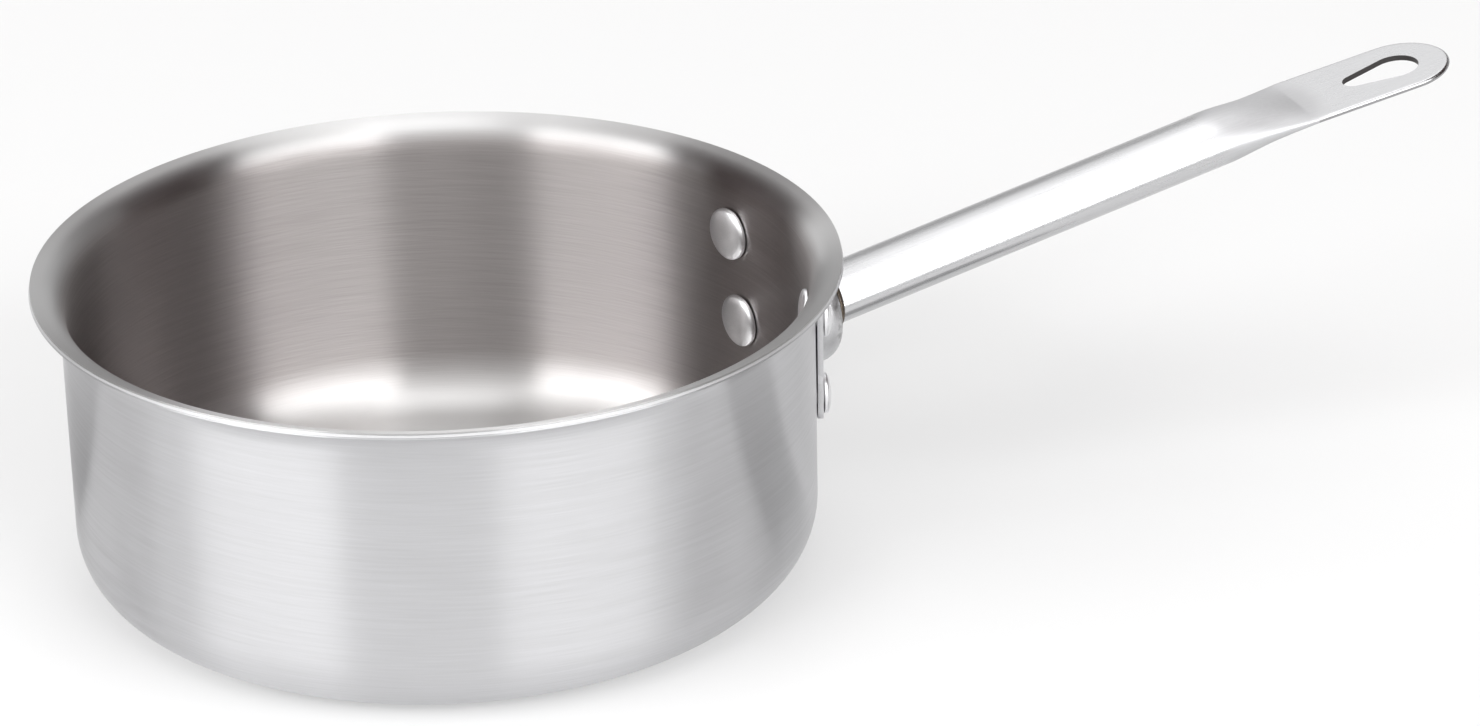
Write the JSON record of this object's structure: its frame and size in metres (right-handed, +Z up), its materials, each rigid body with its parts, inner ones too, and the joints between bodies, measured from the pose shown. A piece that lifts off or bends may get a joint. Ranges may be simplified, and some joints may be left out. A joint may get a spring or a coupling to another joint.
{
  "type": "saucepan",
  "caption": "Brushed stainless saucepan with a flared pouring lip, a rounded base edge and a long oval-tube handle with a flat hanging end, welded to a riveted bracket.",
  "frame": {"origin": "middle of the base's underside, on the pan's axis", "axes": "+Z up along the pan's axis, +X along the handle away from the pan, +Y to the left of the handle"},
  "size_m": [0.4099, 0.218, 0.1035],
  "materials": {
    "outside_steel": "brushed around the pan",
    "core_aluminium": "bare cut edge",
    "inside_steel": "brushed around the pan, fine",
    "bracket_steel": "satin, pressed",
    "handle_steel": "satin, brushed along the tube",
    "weld_steel": "heat-darkened bead",
    "rivet_steel": "polished dome with light scratches"
  },
  "bodies": {
    "root": {"pan_outer_ply": "outside_steel", "pan_core_ply": "core_aluminium", "pan_inner_ply": "inside_steel", "handle_bracket": "bracket_steel", "handle_tube": "handle_steel", "handle_weld": "weld_steel", "rivet_upper_left": "rivet_steel", "rivet_upper_right": "rivet_steel", "rivet_lower_left": "rivet_steel", "rivet_lower_right": "rivet_steel"}
  },
  "joints": []
}
